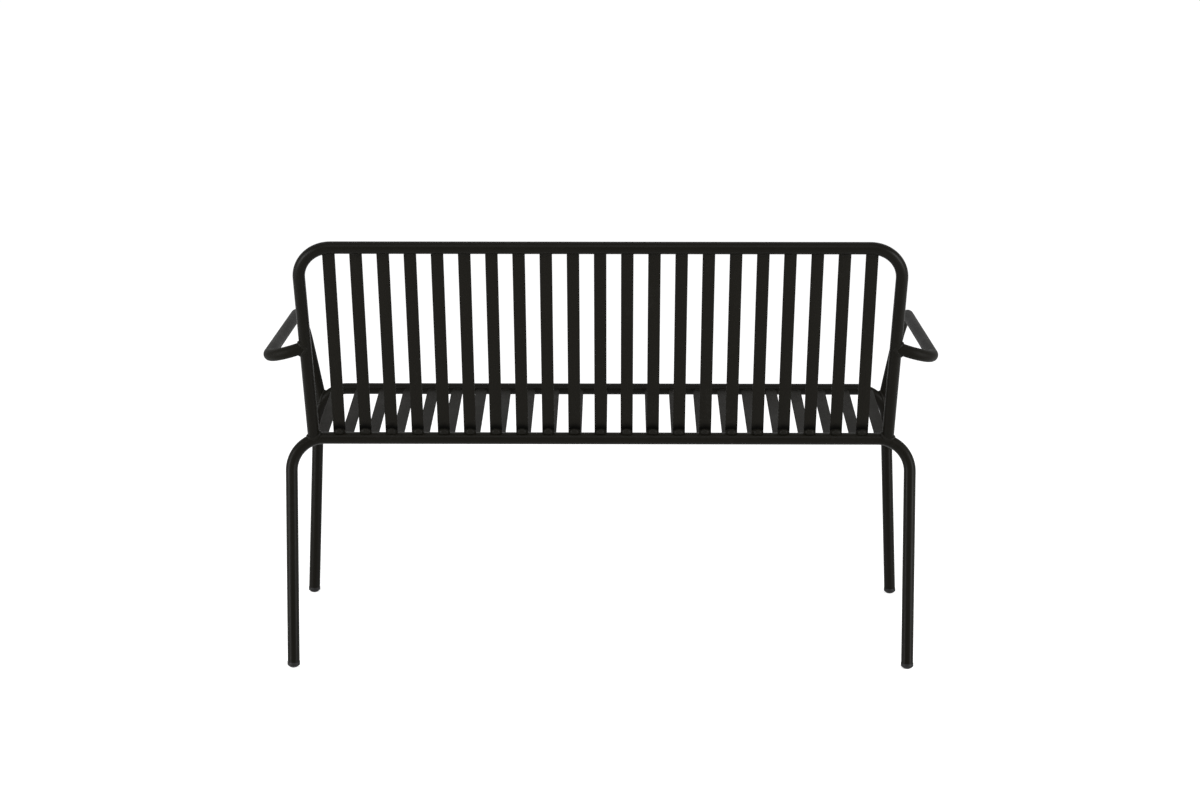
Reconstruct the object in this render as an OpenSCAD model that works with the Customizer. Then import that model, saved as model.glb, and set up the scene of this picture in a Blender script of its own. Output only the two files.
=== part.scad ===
// Two-seat garden sofa of welded round tube with flat slats.
// Sitting front faces -Y, +Z is up. Left and right are the sitter's own: left is at +X.
// The origin is on the ground, in the middle of the sofa's width and depth.

/* [Tube] */
// Outer diameter of the round tube of every frame
tube_d = 24; // [20:0.5:28]
// Wall of the tube
tube_wall = 1.5; // [1:0.1:3]
// Centre line radius of the bends in the leg frames and the back frame
bend_r = 64; // [50:1:75]
// Centre line radius of the bends in the armrests
arm_bend_r = 56; // [40:1:62]
// How much slimmer the tube measures across its bends, drawn down by the bending
bend_slim = 0.1; // [0.05:0.01:0.4]

/* [Back] */
// Width between the axes of the back's uprights at their feet
back_w = 1144; // [900:1:1800]
// How far each upright spreads outward from its foot to the top rail
back_spread = 9; // [0:1:20]
// Height of the top rail's axis over the rear rail's axis
back_h = 404; // [320:1:520]
// How far the top rail's axis lies behind the rear rail's axis
back_lean = 124; // [60:1:170]

/* [Rear legs] */
// Height of the rear rail's axis over the ground
rear_rail_h = 440; // [380:1:500]
// How far each rear leg's axis lies outside the upright's foot at the rail
rear_leg_out = 45; // [38:1:55]
// How far each rear foot stands inward of its rail corner
rear_foot_in = 8; // [0:1:20]
// How far the rear feet stand behind the rear rail's axis
rear_foot_back = 120; // [60:1:160]

/* [Front legs] */
// Seat depth between the axes of the front and rear rails
seat_depth = 420; // [360:1:520]
// How much higher the front rail's axis lies than the rear rail's
front_rise = 8; // [0:1:20]
// How far each front leg's axis lies outside the upright's foot at the rail
front_leg_out = 40; // [36:1:55]
// How far each front foot stands outward of its rail corner
front_foot_out = 17; // [0:1:30]
// How far the front feet stand behind the front rail's axis
front_foot_back = 35; // [0:1:60]

/* [Armrests] */
// Height of the armrest's axis over the rear rail's axis
arm_h = 174; // [140:1:210]
// How far above the armrest its rear end meets the upright
arm_join_rise = 24; // [10:1:36]
// How far the armrest's rear corner lies outside the upright's foot
arm_out = 82; // [78:1:110]
// How far the armrest runs inward from its rear corner to its front corner
arm_taper = 0; // [0:1:20]
// How far the armrest's rear corner lies behind the rear rail's axis
arm_back = 76; // [60:1:85]
// How far the armrest's front corner lies ahead of the front rail's axis
arm_reach = 51; // [30:1:70]
// Angle up the front frame's bend at which the armrest lands on it
arm_foot_turn = 28; // [15:1:40]

/* [Slats] */
// Width of each flat slat
slat_w = 24; // [16:1:32]
// Thickness of each flat slat
slat_t = 5; // [3:0.5:8]
// Number of slats in the back
back_slats = 21; // [11:2:21]
// Number of slats in the seat
seat_slats = 23; // [13:2:23]
// How far ahead of the rear rail's axis the seat slats have their dip
dish_ahead = 105; // [75:1:130]
// How far the dip's corner lies below the rear rail's axis
dish_drop = 27.5; // [12:0.5:36]
// Centre line radius of the seat slats' bend
dish_r = 200; // [100:5:260]

/* [Feet] */
// Height of the glide under each leg
glide_h = 12; // [9:0.5:16]
// Height of the glide's domed foot
glide_dome = 5.5; // [4:0.5:7]
// Width of the flat that the dome stands on
glide_flat = 8; // [5:0.5:12]
// How far the glide's collar stands out past the tube
glide_lip = 0.6; // [0.2:0.1:1.5]
// Length of the glide's stem in the tube
glide_stem = 22; // [12:1:40]
// Play of the glide's stem in the bore on each side
glide_play = 0.15; // [0.1:0.05:0.4]

/* [Welds] */
// Leg of the weld bead round each joint
bead = 3.5; // [2:0.5:5]
// Joint line that each coped end keeps from the tube that carries it
weld_gap = 0.05; // [0.02:0.01:0.1]

/* [Hidden] */
$fn = 48;
// Finer steps for the thin beads round tubes
bead_fn = 128;
// How far cuts run past what they cut
overrun = 2;
// How far each bend runs into the straights that it joins
bend_lap = 0.5;
// Steps in the seat slat's bend
dish_steps = 10;
// How far the bead's ring on the carrying tube reaches, against the ring on the member
carrier_share = 0.85;
// Gaps that an armrest's beads keep from it and from the bend under it, in joint lines
arm_gap_share = 3;
landing_gap_share = 2;
coat = "#26262a";
coat_slat = "#2b2b2e";
coat_weld = "#343438";
glide_black = "#19191b";

// Places of the tube frames, with the rear rail's axis at y = 0
bore_d = tube_d - 2 * tube_wall;
back_x = back_w / 2;
slat_pitch = back_w / (seat_slats - 1);
seat_half = (seat_slats - 1) / 2;
back_half = min((back_slats - 1) / 2, seat_half - 1);
rear_x = back_x + rear_leg_out;
front_x = back_x + front_leg_out;
front_rail_h = rear_rail_h + front_rise;
back_top_h = rear_rail_h + back_h;

// Size of the room that level cuts take away
cut_span = 2 * back_w;

function unit(v) = v / norm(v);
function turn(a, b, c) = acos(unit(b - a) * unit(c - b));
function plane(a, b, c) = unit(cross(unit(b - a), unit(c - b)));
function setback(a, b, c, r) = r * tan(turn(a, b, c) / 2);
function on_from(a, b, s) = b + unit(b - a) * s;
function mirrored(v) = [-v[0], v[1], v[2]];
function hoop(foot, corner) = [mirrored(foot), mirrored(corner), corner, foot];
function longer(p, s) = [on_from(p[1], p[0], s), p[1], p[2], on_from(p[2], p[3], s)];
function bend_drop(x, corner_x) =
    let (in_bend = max(0, x - (corner_x - bend_r)))
    bend_r - sqrt(bend_r * bend_r - in_bend * in_bend);

// Corner and foot of each frame on the +X side
rear_corner = [rear_x, 0, rear_rail_h];
rear_foot = [rear_x - rear_foot_in, rear_foot_back, 0];
front_corner = [front_x, -seat_depth, front_rail_h];
front_foot = [front_x + front_foot_out, front_foot_back - seat_depth, 0];
back_corner = [back_x + back_spread, back_lean, back_top_h];
back_axis_foot = [back_x, 0, rear_rail_h];

rear_path = hoop(rear_foot, rear_corner);
front_path = hoop(front_foot, front_corner);
back_path = hoop(back_axis_foot, back_corner);

// The uprights are cut level where the rear frame's axis passes under them
back_cut_h = rear_rail_h - bend_drop(back_x, rear_x);

// Armrest from the upright over its two corners to the front frame's bend
arm_level = rear_rail_h + arm_h;
arm_join_share = (arm_h + arm_join_rise) / back_h;
arm_start = back_axis_foot + (back_corner - back_axis_foot) * arm_join_share;
arm_rear = [back_x + arm_out, arm_back, arm_level];
arm_front = [back_x + arm_out - arm_taper, -seat_depth - arm_reach, arm_level];
front_down = unit(front_foot - front_corner);
arm_end = front_corner + [-bend_r * (1 - cos(arm_foot_turn)), 0, 0]
        + front_down * bend_r * (1 - sin(arm_foot_turn));
arm_path = [arm_start, arm_rear, arm_front, arm_end];

// Foremost and rearmost planes, which the origin lies midway between
arm_bend_axis = unit(cross(unit(arm_front - arm_rear), unit(arm_end - arm_front)));
arm_bend_start = on_from(arm_rear, arm_front, -setback(arm_rear, arm_front, arm_end, arm_bend_r));
arm_bend_centre = arm_bend_start
                + cross(arm_bend_axis, unit(arm_front - arm_rear)) * arm_bend_r;
foremost = arm_bend_centre[1] - arm_bend_r * sqrt(1 - pow(arm_bend_axis[1], 2)) - tube_d / 2;
rearmost = max(back_lean, rear_foot_back) + tube_d / 2;
origin_shift = -(foremost + rearmost) / 2;

// Slat places, counted from the sofa's middle
function slat_x(k) = k * slat_pitch;
function two_digits(n) = n < 10 ? str("0", n) : str(n);
function seat_name(k) = str("seat_slat_", two_digits(k + seat_half + 1));
function back_name(k) = str("back_slat_", two_digits(k + back_half + 1));
seat_ks = [-seat_half : seat_half];
back_ks = [-back_half : back_half];

// Stands the drawing's origin midway between the foremost and rearmost planes
module placed() {
    translate([0, origin_shift, 0]) children();
}

// Keeps what lies above a level
module above(level) {
    intersection() {
        children();
        translate([-cut_span / 2, -cut_span / 2, level]) cube(cut_span);
    }
}

// Straight round bar from a to b, where n is square to the plane that it bends in
module rod(a, b, d, n) {
    w = unit(b - a);
    u = unit(cross(n, w));
    v = cross(w, u);
    multmatrix([[u[0], v[0], w[0], a[0]],
                [u[1], v[1], w[1], a[1]],
                [u[2], v[2], w[2], a[2]],
                [0, 0, 0, 1]])
        cylinder(h = norm(b - a), d = d);
}

// Round bend of the way from a over the corner b to c
module elbow(a, b, c, d, r) {
    e = unit(b - a);
    n = plane(a, b, c);
    x = -cross(n, e);
    o = b - e * setback(a, b, c, r) - x * r;
    lap = bend_lap / r * (180 / PI);
    multmatrix([[x[0], e[0], n[0], o[0]],
                [x[1], e[1], n[1], o[1]],
                [x[2], e[2], n[2], o[2]],
                [0, 0, 0, 1]])
        rotate([0, 0, -lap])
            rotate_extrude(angle = turn(a, b, c) + 2 * lap)
                translate([r, 0]) circle(d = d - bend_slim);
}

// Two bends of a four-point way and the straight between them
module bent_rail(p, d, r) {
    first = setback(p[0], p[1], p[2], r);
    last = setback(p[1], p[2], p[3], r);
    elbow(p[0], p[1], p[2], d, r);
    rod(on_from(p[2], p[1], -first), on_from(p[1], p[2], -last), d, plane(p[1], p[2], p[3]));
    elbow(p[1], p[2], p[3], d, r);
}

// Round bar along all four points
module bent_rod(p, d, r) {
    first = setback(p[0], p[1], p[2], r);
    last = setback(p[1], p[2], p[3], r);
    rod(p[0], on_from(p[0], p[1], -first), d, plane(p[0], p[1], p[2]));
    bent_rail(p, d, r);
    rod(on_from(p[3], p[2], -last), p[3], d, plane(p[1], p[2], p[3]));
}

// The same bar with the tube's bore
module bent_tube(p, r) {
    difference() {
        bent_rod(p, tube_d, r);
        bent_rod(longer(p, overrun), bore_d, r);
    }
}

// Room that a frame's rail and bends take, grown by a margin all round
module rail_room(p, margin) {
    bent_rail(p, tube_d + 2 * margin, bend_r);
}
// The same for the bend and leg on the +X side
module corner_room(p, margin) {
    d = tube_d + 2 * margin;
    elbow(p[1], p[2], p[3], d, bend_r);
    rod(on_from(p[3], p[2], -setback(p[1], p[2], p[3], bend_r)), p[3], d,
        plane(p[1], p[2], p[3]));
}
// The same for both uprights of the back frame
module upright_room(margin) {
    for (side = [0, 1]) mirror([side, 0, 0])
        above(back_cut_h)
            rod(on_from(back_corner, back_axis_foot, tube_d), back_corner,
                tube_d + 2 * margin, plane(back_path[1], back_path[2], back_path[3]));
}

// Leg frame: one bent tube, cut level over its glides
module leg_tube(p) {
    above(glide_h) bent_tube(longer(p, tube_d), bend_r);
}
module rear_leg_frame() {
    color(coat) placed() leg_tube(rear_path);
}
module front_leg_frame() {
    color(coat) placed() leg_tube(front_path);
}

// Back frame: one bent tube whose feet are coped to the rear frame
module back_frame() {
    color(coat) placed() difference() {
        above(back_cut_h) bent_tube(longer(back_path, tube_d), bend_r);
        rail_room(rear_path, weld_gap);
    }
}

// Armrest tube, coped to the upright and to the front frame's bend
module arm_tube() {
    difference() {
        bent_tube(arm_path, arm_bend_r);
        upright_room(weld_gap);
        corner_room(front_path, weld_gap);
    }
}
module left_armrest() {
    color(coat) placed() arm_tube();
}
module right_armrest() {
    color(coat) placed() mirror([1, 0, 0]) arm_tube();
}

// Heading of the seat slat's two legs against the ground, rear leg first
dish_corner = [-dish_ahead, rear_rail_h - dish_drop];
rear_heading = atan2(dish_corner[1] - rear_rail_h, dish_ahead);
front_heading = atan2(front_rail_h - dish_corner[1], seat_depth - dish_ahead);
dish_back = dish_r * tan((front_heading - rear_heading) / 2);
function ahead(h) = [-cos(h), sin(h)];
function upward(h) = [sin(h), cos(h)];
dish_centre = dish_corner - ahead(rear_heading) * dish_back + upward(rear_heading) * dish_r;
dish_headings = [for (i = [0 : dish_steps])
    rear_heading + (front_heading - rear_heading) * i / dish_steps];

// One side of the seat slat's profile, offset upward from its middle line
function seat_line(side) = concat(
    [[0, rear_rail_h] + upward(rear_heading) * side],
    [for (h = dish_headings) dish_centre - upward(h) * (dish_r - side)],
    [[-seat_depth, front_rail_h] + upward(front_heading) * side]);
function backward(list) = [for (i = [len(list) - 1 : -1 : 0]) list[i]];

// Flat bar of the seat from rail axis to rail axis, grown by a margin all round
module seat_bar(k, margin) {
    half = slat_t / 2 + margin;
    translate([slat_x(k) - slat_w / 2 - margin, 0, 0])
        rotate([90, 0, 90])
            linear_extrude(slat_w + 2 * margin)
                polygon(concat(seat_line(half), backward(seat_line(-half))));
}
module seat_slat(k) {
    color(coat_slat) placed() difference() {
        seat_bar(k, 0);
        rail_room(rear_path, weld_gap);
        rail_room(front_path, weld_gap);
        if (abs(k) == seat_half) upright_room(weld_gap);
    }
}

// Flat bar of the back from rail axis to rail axis, grown by a margin all round
back_len = norm([back_lean, back_h]);
back_tilt = atan2(back_lean, back_h);
module back_bar(k, margin) {
    translate([slat_x(k), 0, rear_rail_h])
        rotate([-back_tilt, 0, 0])
            translate([-slat_w / 2 - margin, -slat_t / 2 - margin, 0])
                cube([slat_w + 2 * margin, slat_t + 2 * margin, back_len]);
}
module back_slat(k) {
    color(coat) placed() difference() {
        back_bar(k, 0);
        rail_room(rear_path, weld_gap);
        rail_room(back_path, weld_gap);
    }
}

// Ball that is as wide as the flat on the ground and as wide as the tube at the dome's top
ball_h = (pow(tube_d / 2, 2) - pow(glide_flat / 2, 2) + pow(glide_dome, 2)) / (2 * glide_dome);
ball_r = norm([glide_flat / 2, ball_h]);

// Plastic glide: a domed foot and a collar under the leg, and a stem up its bore
module glide(foot, knee) {
    below = on_from(knee, foot, glide_h);
    stem_end = on_from(knee, foot, -glide_h - glide_stem);
    axis_at_dome = foot + (knee - foot) * glide_dome / knee[2];
    color(glide_black) placed() {
        translate([axis_at_dome[0], axis_at_dome[1], 0]) intersection() {
            cylinder(h = glide_dome, r = ball_r);
            translate([0, 0, ball_h]) sphere(r = ball_r);
        }
        intersection() {
            rod(below, stem_end, tube_d + 2 * glide_lip, [1, 0, 0]);
            translate(axis_at_dome) cylinder(h = glide_h - glide_dome, r = tube_d);
        }
        above(glide_dome) rod(foot, stem_end, bore_d - 2 * glide_play, [1, 0, 0]);
    }
}

// Weld beads: what the grown member and the grown carrier share, outside both
module seat_front_welds() {
    color(coat_weld) placed() difference() {
        intersection() {
            union() for (k = seat_ks) seat_bar(k, bead);
            rail_room(front_path, bead);
        }
        rail_room(front_path, weld_gap);
        for (k = seat_ks) seat_bar(k, weld_gap);
    }
}
module seat_rear_welds() {
    color(coat_weld) placed() difference() {
        intersection() {
            union() for (k = seat_ks) seat_bar(k, bead);
            rail_room(rear_path, bead);
        }
        rail_room(rear_path, weld_gap);
        for (k = seat_ks) seat_bar(k, weld_gap);
        upright_room(bead + weld_gap);
    }
}
module back_foot_welds() {
    color(coat_weld) placed() difference() {
        intersection() {
            union() for (k = back_ks) back_bar(k, bead);
            rail_room(rear_path, bead);
        }
        rail_room(rear_path, weld_gap);
        for (k = back_ks) back_bar(k, weld_gap);
    }
}
module back_top_welds() {
    color(coat_weld) placed() difference() {
        intersection() {
            union() for (k = back_ks) back_bar(k, bead);
            rail_room(back_path, bead);
        }
        rail_room(back_path, weld_gap);
        for (k = back_ks) back_bar(k, weld_gap);
    }
}

// Straight ends of the armrest, grown by a margin all round
module arm_top_room(margin) {
    rod(arm_start, arm_rear, tube_d + 2 * margin, plane(arm_start, arm_rear, arm_front));
}
module arm_foot_room(margin) {
    rod(arm_end, arm_front, tube_d + 2 * margin, plane(arm_rear, arm_front, arm_end));
}
// Bend of the front leg frame that the armrest lands on, grown by a margin all round
module landing_room(margin) {
    elbow(front_path[1], front_path[2], front_path[3], tube_d + 2 * margin, bend_r);
}
module upright_foot_bead() {
    difference() {
        intersection() {
            upright_room(bead);
            rail_room(rear_path, bead * carrier_share);
        }
        upright_room(weld_gap);
        rail_room(rear_path, weld_gap);
        seat_bar(seat_half, weld_gap);
        seat_bar(-seat_half, weld_gap);
    }
}
module arm_top_bead() {
    difference() {
        intersection() {
            arm_top_room(bead);
            upright_room(bead * carrier_share);
        }
        arm_top_room(weld_gap * arm_gap_share);
        upright_room(weld_gap);
    }
}
module arm_foot_bead() {
    difference() {
        intersection() {
            arm_foot_room(bead);
            landing_room(bead * carrier_share);
        }
        arm_foot_room(weld_gap * arm_gap_share);
        landing_room(weld_gap * landing_gap_share);
    }
}
module upright_foot_welds() {
    $fn = bead_fn;
    color(coat_weld) placed() upright_foot_bead();
}
module arm_top_welds() {
    $fn = bead_fn;
    color(coat_weld) placed() {
        arm_top_bead();
        mirror([1, 0, 0]) arm_top_bead();
    }
}
module arm_foot_welds() {
    $fn = bead_fn;
    color(coat_weld) placed() {
        arm_foot_bead();
        mirror([1, 0, 0]) arm_foot_bead();
    }
}

rear_leg_frame();
front_leg_frame();
back_frame();
left_armrest();
right_armrest();
for (k = seat_ks) seat_slat(k);
for (k = back_ks) back_slat(k);
glide(rear_foot, rear_corner);  // rear_left_glide
glide(mirrored(rear_foot), mirrored(rear_corner));  // rear_right_glide
glide(front_foot, front_corner);  // front_left_glide
glide(mirrored(front_foot), mirrored(front_corner));  // front_right_glide
seat_front_welds();
seat_rear_welds();
back_foot_welds();
back_top_welds();
upright_foot_welds();
arm_top_welds();
arm_foot_welds();
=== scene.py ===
"""Dresses a two-seat garden sofa of bent round tube and flat slats, all in black powder coat."""
import logging
import math
import random
from dataclasses import dataclass, field, replace
from enum import Enum
from typing import Sequence

import bmesh
import bpy
from bmesh.types import BMEdge, BMesh, BMVert
from bpy.types import Material, NodeSocket, NodeTree, Object
from mathutils import Matrix, Vector
from mathutils.geometry import intersect_point_line


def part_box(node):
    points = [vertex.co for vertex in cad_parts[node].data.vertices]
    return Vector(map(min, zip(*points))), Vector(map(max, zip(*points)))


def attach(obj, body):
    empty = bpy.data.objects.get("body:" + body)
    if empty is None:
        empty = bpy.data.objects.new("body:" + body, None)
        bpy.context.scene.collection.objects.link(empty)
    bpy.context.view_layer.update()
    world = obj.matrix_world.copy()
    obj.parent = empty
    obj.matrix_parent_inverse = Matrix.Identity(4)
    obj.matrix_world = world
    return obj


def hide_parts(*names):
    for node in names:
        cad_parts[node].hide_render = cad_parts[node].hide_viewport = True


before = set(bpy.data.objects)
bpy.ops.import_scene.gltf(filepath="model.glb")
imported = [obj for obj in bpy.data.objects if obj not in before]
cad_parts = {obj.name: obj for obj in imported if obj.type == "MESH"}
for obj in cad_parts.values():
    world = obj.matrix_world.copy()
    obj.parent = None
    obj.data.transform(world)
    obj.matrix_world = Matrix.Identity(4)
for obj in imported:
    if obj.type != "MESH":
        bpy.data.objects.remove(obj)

LOG = logging.getLogger("sofa")
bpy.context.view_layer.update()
MM = 0.001
ACROSS = Vector((1.0, 0.0, 0.0))
WHITE = (1.0, 1.0, 1.0, 1.0)
MERGE_DISTANCE = 1e-6
Way = Sequence[Vector]


class Side(Enum):
    """Sides of the sofa as the sitter names them."""

    LEFT = 1.0
    RIGHT = -1.0

    @property
    def word(self) -> str:
        """The side's name within a piece's name."""
        return self.name.lower()

    def place(self, point: Vector) -> Vector:
        """This side's copy of a point that is given on the left."""
        return point * Vector((self.value, 1.0, 1.0))


class Slot(Enum):
    """Material slots of the record."""

    FRAME = "frame_coat"
    SLAT = "slat_coat"
    WELD = "weld_coat"
    GLIDE = "glide_plastic"


# Sizes

@dataclass(frozen=True)
class TubeStock:
    """Round tube that every frame is bent from, in metres and degrees."""

    radius: float = 12.0 * MM
    sides: int = 40
    bend_steps: int = 28
    smooth_angle: float = 35.0


@dataclass(frozen=True)
class BarStock:
    """Flat bar that every slat is cut from, in metres and degrees."""

    width: float = 24.0 * MM
    thickness: float = 5.0 * MM
    edge: float = 0.9 * MM
    edge_steps: int = 3
    bend_steps: int = 14
    smooth_angle: float = 50.0


@dataclass(frozen=True)
class SofaPlan:
    """Corners, feet and bends of the frames, from the rear rail's axis, in metres and degrees."""

    rail_y: float
    bend: float = 64.0 * MM
    arm_bend: float = 56.0 * MM
    back_x: float = 572.0 * MM
    back_spread: float = 9.0 * MM
    back_h: float = 404.0 * MM
    back_lean: float = 124.0 * MM
    rear_rail_h: float = 440.0 * MM
    rear_leg_out: float = 45.0 * MM
    rear_foot_in: float = 8.0 * MM
    rear_foot_back: float = 120.0 * MM
    seat_depth: float = 420.0 * MM
    front_rise: float = 8.0 * MM
    front_leg_out: float = 40.0 * MM
    front_foot_out: float = 17.0 * MM
    front_foot_back: float = 35.0 * MM
    arm_h: float = 174.0 * MM
    arm_join_rise: float = 24.0 * MM
    arm_out: float = 82.0 * MM
    arm_back: float = 76.0 * MM
    arm_reach: float = 51.0 * MM
    arm_foot_turn: float = 28.0
    dish_ahead: float = 105.0 * MM
    dish_drop: float = 27.5 * MM
    dish_bend: float = 200.0 * MM
    seat_half: int = 11
    back_half: int = 10

    @property
    def pitch(self) -> float:
        """Step from slat to slat."""
        return self.back_x / self.seat_half

    def at(self, x: float, y: float, z: float) -> Vector:
        """Point x to the left, y behind the rear rail's axis and z over the ground."""
        return Vector((x, y + self.rail_y, z))

    def hoop(self, foot: Vector, corner: Vector) -> list[Vector]:
        """Way of a hoop from foot to foot, by its foot and corner on the left."""
        return [Side.RIGHT.place(foot), Side.RIGHT.place(corner), corner, foot]

    def rear_way(self) -> list[Vector]:
        """Way of the rear leg frame."""
        x = self.back_x + self.rear_leg_out
        return self.hoop(self.at(x - self.rear_foot_in, self.rear_foot_back, 0.0),
                         self.at(x, 0.0, self.rear_rail_h))

    def front_way(self) -> list[Vector]:
        """Way of the front leg frame."""
        x = self.back_x + self.front_leg_out
        return self.hoop(
            self.at(x + self.front_foot_out, self.front_foot_back - self.seat_depth, 0.0),
            self.at(x, -self.seat_depth, self.rear_rail_h + self.front_rise))

    def back_way(self) -> list[Vector]:
        """Way of the back frame."""
        return self.hoop(self.at(self.back_x, 0.0, self.rear_rail_h),
                         self.at(self.back_x + self.back_spread, self.back_lean,
                                 self.rear_rail_h + self.back_h))

    def arm_way(self, side: Side) -> list[Vector]:
        """Way of an armrest, which lands on the front leg frame's bend.

        Args:
            side: Side that the armrest is on.

        Returns:
            The way from the upright to the front leg frame.
        """
        level = self.rear_rail_h + self.arm_h
        share = (self.arm_h + self.arm_join_rise) / self.back_h
        _, _, top, foot = self.back_way()
        start = foot.lerp(top, share)
        rear = self.at(self.back_x + self.arm_out, self.arm_back, level)
        front = self.at(self.back_x + self.arm_out, -self.seat_depth - self.arm_reach, level)
        _, _, corner, ground = self.front_way()
        turn = math.radians(self.arm_foot_turn)
        end = (corner + Vector((-self.bend * (1.0 - math.cos(turn)), 0.0, 0.0))
               + (ground - corner).normalized() * self.bend * (1.0 - math.sin(turn)))
        return [side.place(point) for point in (start, rear, front, end)]


# Mesh helpers

@dataclass(frozen=True)
class Bend:
    """Round bend that stands for a corner of a way."""

    start: Vector
    end: Vector
    centre: Vector
    axis: Vector
    angle: float


def rounded(before: Vector, corner: Vector, after: Vector, radius: float) -> Bend:
    """Rounds a corner of a way.

    Args:
        before: Point of the way before the corner.
        corner: The corner.
        after: Point of the way after it.
        radius: Bend radius of the middle line.

    Returns:
        The bend.
    """
    arriving = (corner - before).normalized()
    leaving = (after - corner).normalized()
    angle = arriving.angle(leaving)
    back = radius * math.tan(angle / 2.0)
    start = corner - arriving * back
    axis = arriving.cross(leaving).normalized()
    centre = start + axis.cross(arriving) * radius
    return Bend(start, corner + leaving * back, centre, axis, angle)


def facing(origin: Vector, along: Vector, side: Vector) -> Matrix:
    """Placing of a section whose normal points along a way.

    Args:
        origin: Where the section's middle goes.
        along: Direction of the way.
        side: Direction that the section's own X axis follows.

    Returns:
        The matrix that places the section.
    """
    z = along.normalized()
    x = (side - z * side.dot(z)).normalized()
    y = z.cross(x)
    turn = Matrix((x, y, z)).transposed().to_4x4()
    return Matrix.Translation(origin) @ turn


def placed(name: str, data: bpy.types.ID) -> Object:
    """Makes an object at the origin and links it to the scene.

    Args:
        name: Name of the object.
        data: Its mesh, lamp or camera.

    Returns:
        The new object.
    """
    obj = bpy.data.objects.new(name, data)
    bpy.context.scene.collection.objects.link(obj)
    return obj


def mesh_object(name: str, bm: BMesh) -> Object:
    """Turns a bmesh into an object at the origin.

    Args:
        name: Name of the object.
        bm: Its mesh, which is freed.

    Returns:
        The new object.
    """
    mesh = bpy.data.meshes.new(name)
    bm.to_mesh(mesh)
    bm.free()
    return placed(name, mesh)


def closed_object(name: str, bm: BMesh, smooth_angle: float) -> Object:
    """Turns a bmesh into an object at the origin with its faces outward.

    Args:
        name: Name of the piece.
        bm: Its mesh, which is freed.
        smooth_angle: Angle in degrees over which an edge stays sharp.

    Returns:
        The new object, linked to the scene.
    """
    bmesh.ops.remove_doubles(bm, verts=bm.verts[:], dist=MERGE_DISTANCE)
    bmesh.ops.recalc_face_normals(bm, faces=bm.faces[:])
    limit = math.radians(smooth_angle)
    for face in bm.faces:
        face.smooth = True
    for edge in bm.edges:
        edge.smooth = len(edge.link_faces) == 2 and edge.calc_face_angle(0.0) < limit
    return mesh_object(name, bm)


@dataclass
class Sweep:
    """Carries a closed section along straights and round bends."""

    bm: BMesh
    verts: list[BMVert]
    edges: list[BMEdge]

    def hold(self, geom: Sequence) -> None:
        """Takes the vertices and edges among what an operator made as the section."""
        self.verts = [part for part in geom if isinstance(part, BMVert)]
        self.edges = [part for part in geom if isinstance(part, BMEdge)]

    def straight(self, step: Vector) -> None:
        """Draws the section out by a step."""
        self.hold(bmesh.ops.extrude_edge_only(self.bm, edges=self.edges)["geom"])
        bmesh.ops.translate(self.bm, verts=self.verts, vec=step)

    def turn(self, bend: Bend, steps: int) -> None:
        """Turns the section round a bend, from its start, in so many rings."""
        out = bmesh.ops.spin(self.bm, geom=self.verts + self.edges, cent=bend.centre,
                             axis=bend.axis, dvec=(0.0, 0.0, 0.0), angle=bend.angle, steps=steps,
                             use_merge=False, use_normal_flip=False, use_duplicate=False)
        self.hold(out["geom_last"])

    def follow(self, way: Way, radius: float, steps: int) -> None:
        """Carries the section along a way with a bend at each inner point.

        Args:
            way: Points of the way, where the section stands at the first.
            radius: Bend radius of the middle line.
            steps: Number of rings in each bend.
        """
        here = way[0]
        for before, corner, after in zip(way, way[1:], way[2:]):
            bend = rounded(before, corner, after, radius)
            self.straight(bend.start - here)
            self.turn(bend, steps)
            here = bend.end
        self.straight(way[-1] - here)

    def cap(self) -> None:
        """Closes every open end."""
        rims = [edge for edge in self.bm.edges if edge.is_boundary]
        bmesh.ops.holes_fill(self.bm, edges=rims, sides=0)


def bent_tube(name: str, way: Way, bend: float, stock: TubeStock) -> Object:
    """Makes a round tube along a way.

    Args:
        name: Name of the piece.
        way: Points of its middle line.
        bend: Bend radius of the middle line.
        stock: The tube.

    Returns:
        The new object.
    """
    bm = bmesh.new()
    side = (way[1] - way[0]).cross(way[2] - way[1])
    made = bmesh.ops.create_circle(bm, cap_ends=False, segments=stock.sides, radius=stock.radius,
                                   matrix=facing(way[0], way[1] - way[0], side))
    sweep = Sweep(bm, made["verts"], bm.edges[:])
    sweep.follow(way, bend, stock.bend_steps)
    sweep.cap()
    return closed_object(name, bm, stock.smooth_angle)


def flat_bar(name: str, way: Way, bend: float, stock: BarStock) -> Object:
    """Makes a flat bar with rounded edges along a way in a plane of constant X.

    Args:
        name: Name of the piece.
        way: Points of its middle line.
        bend: Bend radius of the middle line.
        stock: The bar.

    Returns:
        The new object.
    """
    bm = bmesh.new()
    made = bmesh.ops.create_grid(bm, x_segments=1, y_segments=1, size=0.5)
    bmesh.ops.scale(bm, verts=made["verts"], vec=(stock.width, stock.thickness, 1.0))
    bmesh.ops.bevel(bm, geom=bm.verts[:], offset=stock.edge, offset_type="OFFSET",
                    segments=stock.edge_steps, profile=0.5, affect="VERTICES", material=-1)
    bmesh.ops.delete(bm, geom=bm.faces[:], context="FACES_ONLY")
    bmesh.ops.transform(bm, matrix=facing(way[0], way[1] - way[0], ACROSS), verts=bm.verts[:])
    sweep = Sweep(bm, bm.verts[:], bm.edges[:])
    sweep.follow(way, bend, stock.bend_steps)
    sweep.cap()
    return closed_object(name, bm, stock.smooth_angle)


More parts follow.
